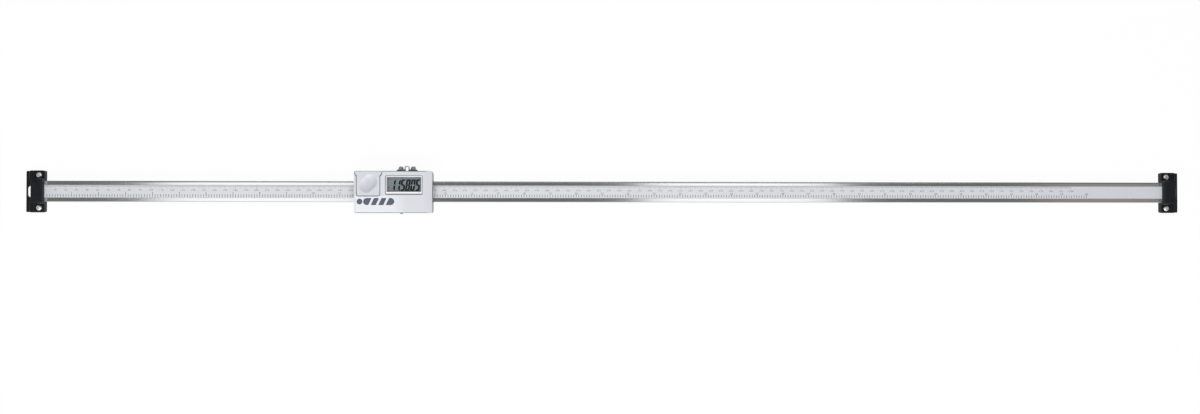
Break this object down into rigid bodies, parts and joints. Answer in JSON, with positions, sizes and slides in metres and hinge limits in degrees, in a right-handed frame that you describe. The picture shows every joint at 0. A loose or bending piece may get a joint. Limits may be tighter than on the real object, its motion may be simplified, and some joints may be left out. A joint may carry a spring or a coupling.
{
  "type": "digital linear scale",
  "caption": "Digital linear scale: a flat graduated steel beam held by end brackets, with a sliding display head that carries keys, a battery door and a saddle strap.",
  "frame": {"origin": "middle of the left bracket's foot, on the mounting plane", "axes": "+X along the beam from the left bracket to the right one, +Y to the saddle strap's edge of the head, +Z out of the display"},
  "size_m": [1.1364, 0.0467, 0.023],
  "materials": {
    "beam_steel": "ground lands, brushed along the beam",
    "label_film": "printed satin film",
    "grid_laminate": "glass-fibre laminate",
    "bracket_black": "fine moulded texture",
    "screw_steel": "bright nickel plate",
    "frame_metal": "satin die casting",
    "plate_steel": "ground plate",
    "gib_bronze": "rolled strip",
    "housing_silver": "silver satin lacquer on moulded plastic",
    "lens_clear": "clear moulded lens",
    "display_glass": "liquid crystal panel",
    "connector_rubber": "layered elastomer",
    "holder_white": "moulded",
    "board_green": "solder mask",
    "chip_resin": "cast resin",
    "mat_rubber": "silicone",
    "cell_steel": "plated steel can",
    "contact_metal": "sprung sheet",
    "key_rubber": "satin",
    "strap_steel": "pressed sheet"
  },
  "bodies": {
    "scale": {"beam": "beam_steel", "scale_grid": "grid_laminate", "scale_label": "label_film", "left_bracket_base": "bracket_black", "left_bracket_cap": "bracket_black", "left_bracket_screws": "screw_steel", "right_bracket_base": "bracket_black", "right_bracket_cap": "bracket_black", "right_bracket_screws": "screw_steel"},
    "reading_head": {"slider_frame": "frame_metal", "back_plate": "plate_steel", "back_plate_screws": "screw_steel", "gib_strip": "gib_bronze", "gib_screws": "screw_steel", "front_housing": "housing_silver", "housing_screws": "screw_steel", "display_lens": "lens_clear", "display_panel": "display_glass", "display_connectors": "connector_rubber", "display_holder": "holder_white", "circuit_board": "board_green", "controller_chip": "chip_resin", "key_mat": "mat_rubber", "battery": "cell_steel", "negative_contact": "contact_metal", "positive_contact": "contact_metal", "saddle_strap": "strap_steel", "strap_washers": "screw_steel", "strap_screws": "screw_steel"},
    "round_key": {"round_key": "key_rubber"},
    "left_end_key": {"left_end_key": "key_rubber"},
    "inner_left_key": {"inner_left_key": "key_rubber"},
    "inner_right_key": {"inner_right_key": "key_rubber"},
    "right_end_key": {"right_end_key": "key_rubber"},
    "battery_door": {"battery_door": "housing_silver"}
  },
  "joints": [
    {"name": "head_slide", "type": "slide", "parent": "scale", "child": "reading_head", "axis": [1, 0, 0], "range_m": [-0.29414, 0.72186]},
    {"name": "round_key_press", "type": "slide", "parent": "reading_head", "child": "round_key", "axis": [0, 0, -1], "range_m": [0, 0.0006], "stiffness_N_per_m": 800, "springref_m": -0.001},
    {"name": "left_end_key_press", "type": "slide", "parent": "reading_head", "child": "left_end_key", "axis": [0, 0, -1], "range_m": [0, 0.0006], "stiffness_N_per_m": 800, "springref_m": -0.001},
    {"name": "inner_left_key_press", "type": "slide", "parent": "reading_head", "child": "inner_left_key", "axis": [0, 0, -1], "range_m": [0, 0.0006], "stiffness_N_per_m": 800, "springref_m": -0.001},
    {"name": "inner_right_key_press", "type": "slide", "parent": "reading_head", "child": "inner_right_key", "axis": [0, 0, -1], "range_m": [0, 0.0006], "stiffness_N_per_m": 800, "springref_m": -0.001},
    {"name": "right_end_key_press", "type": "slide", "parent": "reading_head", "child": "right_end_key", "axis": [0, 0, -1], "range_m": [0, 0.0006], "stiffness_N_per_m": 800, "springref_m": -0.001},
    {"name": "battery_door_slide", "type": "slide", "parent": "reading_head", "child": "battery_door", "axis": [0, 1, 0], "range_m": [0, 0.03]}
  ]
}
